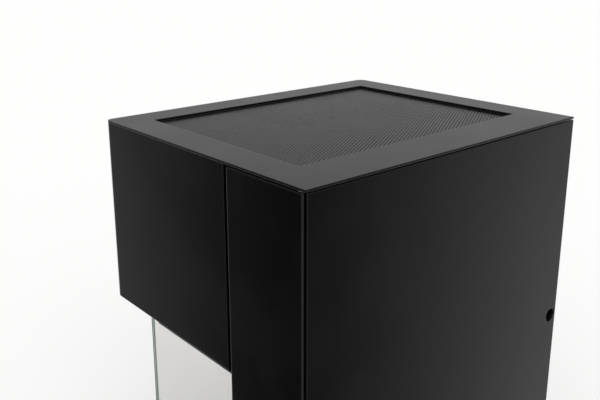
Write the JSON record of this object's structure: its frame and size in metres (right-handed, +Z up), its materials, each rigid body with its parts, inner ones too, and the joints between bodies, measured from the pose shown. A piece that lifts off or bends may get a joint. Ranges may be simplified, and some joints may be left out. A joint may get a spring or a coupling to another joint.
{
  "type": "solder fume extractor",
  "caption": "Benchtop solder fume extractor: sheet-steel cabinet with a perforated top outlet, a hood over a glazed work zone with a lifting visor, and a filter column with a service door.",
  "frame": {"origin": "on the bench, under the middle of the cabinet's footprint (bottom centre of the bounding box)", "axes": "+Z up; +X to the right as seen from the front, towards the filter column and its side cover; -Y is the front, with the hood, the visor and the service door"},
  "size_m": [0.3, 0.363, 0.46],
  "materials": {
    "powder_coat": "matt black powder coat with a very fine texture",
    "zinc_steel": "bright zinc-plated sheet steel",
    "screw_steel": "black oxide",
    "rubber": "moulded black rubber, matt",
    "silicone": "dark grey heat-proof silicone, ribbed, matt",
    "foam": "closed-cell foam",
    "glass": "clear float glass with polished green-tinted edges",
    "aluminium": "black anodised aluminium, satin",
    "motor_steel": "turned steel, satin",
    "fan_plastic": "glass-filled black polyamide",
    "nylon": "natural nylon",
    "ferrite": "sintered ferrite in a plastic holder",
    "black_plastic": "black moulded plastic, fine spark texture",
    "knob_steel": "nickel-plated brass",
    "indicator": "clear tinted domes",
    "circuit_board": "green solder mask",
    "supply_case": "pressed aluminium case",
    "opal": "opal acrylic",
    "filter_mat": "coarse white polyester mat",
    "filter_card": "waxed card frame",
    "filter_paper": "pleated glass-fibre paper",
    "carbon": "bed of activated-carbon granules"
  },
  "bodies": {
    "cabinet": {"base_pan": "powder_coat", "base_plate": "powder_coat", "rubber_feet": "rubber", "foot_screws": "screw_steel", "work_mat": "silicone", "hood_shell": "powder_coat", "hood_floor": "powder_coat", "top_frame": "powder_coat", "grille_seat": "powder_coat", "work_back_panel": "powder_coat", "column_wall": "powder_coat", "column_back_panel": "powder_coat", "column_front_frame": "powder_coat", "bay_shelves": "zinc_steel", "fan_deck": "zinc_steel", "lock_keeper": "zinc_steel", "hinge_pins": "zinc_steel", "door_magnets": "ferrite", "control_fascia": "powder_coat", "status_leds": "indicator", "switch_body": "black_plastic", "potentiometer": "black_plastic", "control_board": "circuit_board", "visor_brackets": "aluminium", "visor_pins": "zinc_steel", "side_glass": "glass", "side_glass_seal": "rubber", "prefilter_mat": "filter_mat", "particle_frame": "filter_card", "particle_pleats": "filter_paper", "carbon_frame": "filter_card", "carbon_core": "carbon", "inlet_nozzle": "zinc_steel", "motor_stator": "motor_steel", "motor_bearings": "motor_steel", "motor_bridge": "zinc_steel", "bridge_mounts": "rubber", "lamp_diffuser": "opal", "power_supply": "supply_case", "mains_inlet": "black_plastic", "case_screws": "screw_steel"},
    "grille": {"exhaust_grille": "powder_coat"},
    "cover": {"side_cover": "powder_coat", "lock_housing": "screw_steel"},
    "cover_lock": {"lock_barrel": "screw_steel", "lock_cam": "zinc_steel"},
    "door": {"service_door": "powder_coat", "door_bush": "nylon", "hinge_sleeve": "nylon", "door_strikes": "zinc_steel", "door_seal": "foam"},
    "visor": {"visor_glass": "glass", "visor_top_rail": "aluminium", "visor_pull": "aluminium"},
    "fan_rotor": {"impeller": "fan_plastic", "motor_rotor": "motor_steel", "motor_shaft": "zinc_steel"},
    "rocker": {"power_rocker": "black_plastic"},
    "knob": {"speed_knob": "black_plastic", "knob_shaft": "knob_steel"}
  },
  "joints": [
    {"name": "door_hinge", "type": "hinge", "parent": "cabinet", "child": "door", "pos_m": [0.1418, -0.1765, 0.28], "axis": [0, 0, 1], "range_deg": [0, 100]},
    {"name": "visor_hinge", "type": "hinge", "parent": "cabinet", "child": "visor", "pos_m": [-0.0395, -0.155, 0.262], "axis": [-1, 0, 0], "range_deg": [0, 90]},
    {"name": "grille_lift", "type": "slide", "parent": "cabinet", "child": "grille", "axis": [0, 0, 1], "range_m": [0, 0.06]},
    {"name": "side_cover_off", "type": "slide", "parent": "cabinet", "child": "cover", "axis": [1, 0, 0], "range_m": [0, 0.08]},
    {"name": "cover_lock_turn", "type": "hinge", "parent": "cover", "child": "cover_lock", "pos_m": [0.142, 0.171, 0.243], "axis": [-1, 0, 0], "range_deg": [0, 90]},
    {"name": "fan_spin", "type": "hinge", "parent": "cabinet", "child": "fan_rotor", "pos_m": [-0.04925, 0, 0.415], "axis": [0, 0, 1], "continuous": true},
    {"name": "rocker_tilt", "type": "hinge", "parent": "cabinet", "child": "rocker", "pos_m": [0.0732, -0.1685, 0.07075], "axis": [-1, 0, 0], "range_deg": [0, 24]},
    {"name": "speed_knob_turn", "type": "hinge", "parent": "cabinet", "child": "knob", "pos_m": [0.1248, -0.177, 0.07075], "axis": [0, 1, 0], "range_deg": [0, 300]}
  ]
}
